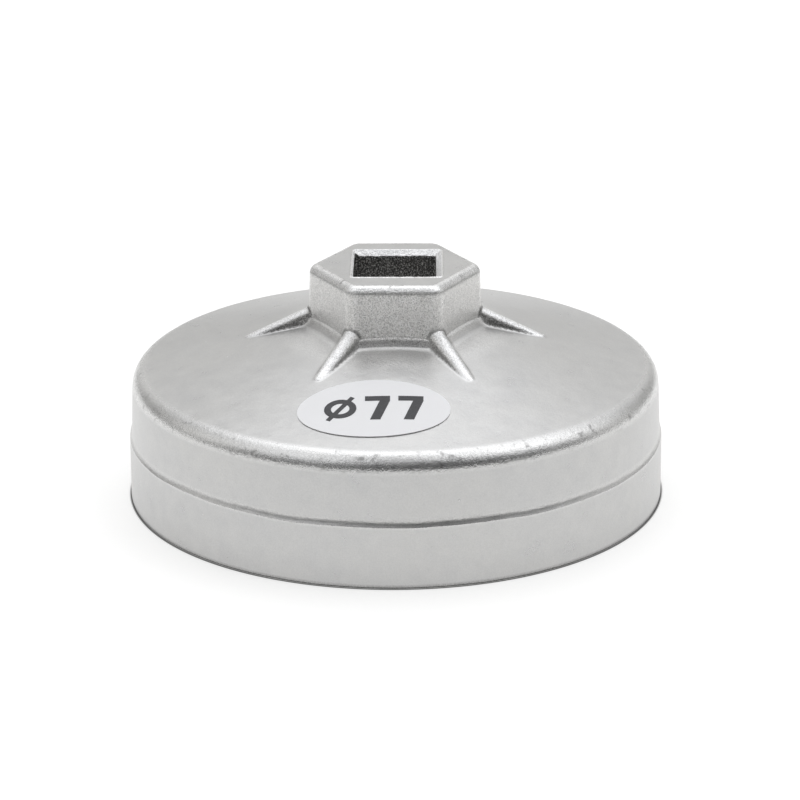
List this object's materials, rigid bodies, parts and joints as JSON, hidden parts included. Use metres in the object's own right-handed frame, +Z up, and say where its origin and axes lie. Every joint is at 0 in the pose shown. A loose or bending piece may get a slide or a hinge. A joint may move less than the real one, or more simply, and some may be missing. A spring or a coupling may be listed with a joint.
{
  "type": "oil filter wrench",
  "caption": "Cap-type oil filter wrench: a cast aluminium cup with inner flats that grip the filter, a hexagonal boss and a square drive.",
  "frame": {"origin": "centre of the open mouth, on the plane of the rim", "axes": "+Z up through the hexagonal boss and the square drive, -Y towards the sticker, two corners of the hexagon on the X axis"},
  "size_m": [0.085, 0.085, 0.0375],
  "materials": {
    "cast_aluminium": "tumbled die casting, satin, with a fine grain",
    "label_glue": "clear pressure-sensitive glue",
    "label_vinyl": "white semi-gloss vinyl",
    "label_ink": "black printed ink"
  },
  "bodies": {
    "root": {"cap_casting": "cast_aluminium", "label_adhesive": "label_glue", "label_film": "label_vinyl", "label_print": "label_ink"}
  },
  "joints": []
}
